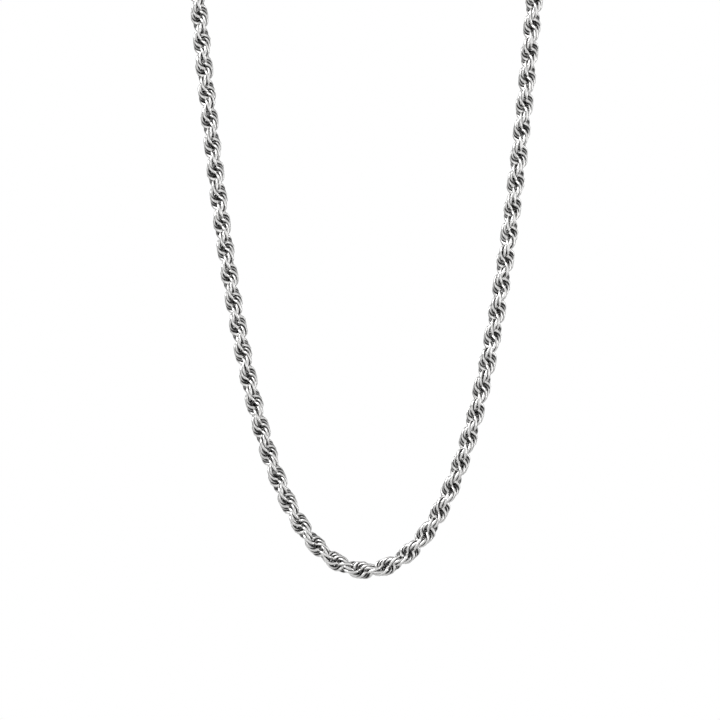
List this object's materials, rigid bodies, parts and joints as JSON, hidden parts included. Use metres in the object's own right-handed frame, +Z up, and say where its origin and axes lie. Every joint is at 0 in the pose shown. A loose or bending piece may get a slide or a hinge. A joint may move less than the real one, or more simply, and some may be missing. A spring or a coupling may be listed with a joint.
{
  "type": "rope chain necklace",
  "caption": "Silver rope chain necklace hanging as a U: a twisted double helix of small linked rings, closed behind the neck by a lobster claw clasp.",
  "frame": {"origin": "half way between the two points where the chain leaves the neck and starts to hang", "axes": "+Z up, +X to the viewer's right, +Y from the hanging front towards the clasp at the back"},
  "size_m": [0.0937, 0.0447, 0.1907],
  "materials": {
    "rope_links": "polished silver with small cut facets",
    "plain_silver": "polished silver",
    "cast_silver": "polished silver casting",
    "spring_wire": "drawn wire"
  },
  "bodies": {
    "neck_chain": {"back_left_1": "rope_links", "back_left_2": "rope_links", "back_left_3": "rope_links", "back_left_4": "rope_links", "back_left_5": "rope_links", "back_right_1": "rope_links", "back_right_2": "rope_links", "back_right_3": "rope_links", "back_right_4": "rope_links", "back_right_5": "rope_links", "end_cap_left": "cast_silver", "end_cap_right": "cast_silver"},
    "drop_01": {"drop_left_01": "rope_links", "drop_right_01": "rope_links"},
    "drop_02": {"drop_left_02": "rope_links", "drop_right_02": "rope_links"},
    "drop_03": {"drop_left_03": "rope_links", "drop_right_03": "rope_links"},
    "drop_04": {"drop_left_04": "rope_links", "drop_right_04": "rope_links"},
    "drop_05": {"drop_left_05": "rope_links", "drop_right_05": "rope_links"},
    "drop_06": {"drop_left_06": "rope_links", "drop_right_06": "rope_links"},
    "drop_07": {"drop_left_07": "rope_links", "drop_right_07": "rope_links"},
    "drop_08": {"drop_left_08": "rope_links", "drop_right_08": "rope_links"},
    "drop_09": {"drop_left_09": "rope_links", "drop_right_09": "rope_links"},
    "drop_10": {"drop_left_10": "rope_links", "drop_right_10": "rope_links"},
    "bottom": {"bottom_left_1": "rope_links", "bottom_left_2": "rope_links", "bottom_left_3": "rope_links", "bottom_right_1": "rope_links", "bottom_right_2": "rope_links", "bottom_right_3": "rope_links"},
    "jump_ring": {"jump_ring": "plain_silver"},
    "catch_ring": {"catch_ring": "plain_silver"},
    "claw": {"claw_body": "cast_silver", "trigger_pin": "plain_silver", "trigger_spring": "spring_wire"},
    "lever": {"trigger_lever": "cast_silver"},
    "tag": {"tag_ring": "plain_silver", "tag": "plain_silver"}
  },
  "joints": [
    {"name": "fold_01", "type": "hinge", "parent": "neck_chain", "child": "drop_01", "pos_m": [0, 0, 0], "axis": [1, 0, 0], "range_deg": [-25, 9]},
    {"name": "fold_02", "type": "hinge", "parent": "drop_01", "child": "drop_02", "pos_m": [0, 0, -0.01336], "axis": [1, 0, 0], "range_deg": [-25, 9]},
    {"name": "fold_03", "type": "hinge", "parent": "drop_02", "child": "drop_03", "pos_m": [0, 0, -0.0267], "axis": [1, 0, 0], "range_deg": [-25, 9]},
    {"name": "fold_04", "type": "hinge", "parent": "drop_03", "child": "drop_04", "pos_m": [0, 0, -0.04004], "axis": [1, 0, 0], "range_deg": [-25, 9]},
    {"name": "fold_05", "type": "hinge", "parent": "drop_04", "child": "drop_05", "pos_m": [0, 0, -0.05336], "axis": [1, 0, 0], "range_deg": [-25, 9]},
    {"name": "fold_06", "type": "hinge", "parent": "drop_05", "child": "drop_06", "pos_m": [0, 0, -0.06667], "axis": [1, 0, 0], "range_deg": [-25, 9]},
    {"name": "fold_07", "type": "hinge", "parent": "drop_06", "child": "drop_07", "pos_m": [0, 0, -0.07994], "axis": [1, 0, 0], "range_deg": [-25, 9]},
    {"name": "fold_08", "type": "hinge", "parent": "drop_07", "child": "drop_08", "pos_m": [0, 0, -0.09318], "axis": [1, 0, 0], "range_deg": [-25, 9]},
    {"name": "fold_09", "type": "hinge", "parent": "drop_08", "child": "drop_09", "pos_m": [0, 0, -0.10635], "axis": [1, 0, 0], "range_deg": [-25, 9]},
    {"name": "fold_10", "type": "hinge", "parent": "drop_09", "child": "drop_10", "pos_m": [0, 0, -0.11941], "axis": [1, 0, 0], "range_deg": [-25, 9]},
    {"name": "fold_11", "type": "hinge", "parent": "drop_10", "child": "bottom", "pos_m": [0, 0, -0.13227], "axis": [1, 0, 0], "range_deg": [-25, 9]},
    {"name": "jump_ring_roll", "type": "hinge", "parent": "neck_chain", "child": "jump_ring", "pos_m": [0.00735, 0.039, 0.023], "axis": [1, 0, 0], "range_deg": [-15, 15]},
    {"name": "catch_ring_roll", "type": "hinge", "parent": "neck_chain", "child": "catch_ring", "pos_m": [-0.00725, 0.039, 0.023], "axis": [1, 0, 0], "range_deg": [-15, 15]},
    {"name": "claw_roll", "type": "hinge", "parent": "neck_chain", "child": "claw", "pos_m": [0, 0.039, 0.023], "axis": [1, 0, 0], "range_deg": [-15, 15]},
    {"name": "lever_pivot", "type": "hinge", "parent": "claw", "child": "lever", "pos_m": [0.0024, 0.039, 0.0241], "axis": [0, -1, 0], "range_deg": [0, 18], "stiffness_Nm_per_rad": 0.02, "springref_deg": -8.59, "deforming": ["trigger_spring"]},
    {"name": "tag_swing", "type": "hinge", "parent": "catch_ring", "child": "tag", "pos_m": [-0.00916, 0.04091, 0.023], "axis": [0.7071, 0.7071, 0], "range_deg": [-8, 35]}
  ]
}
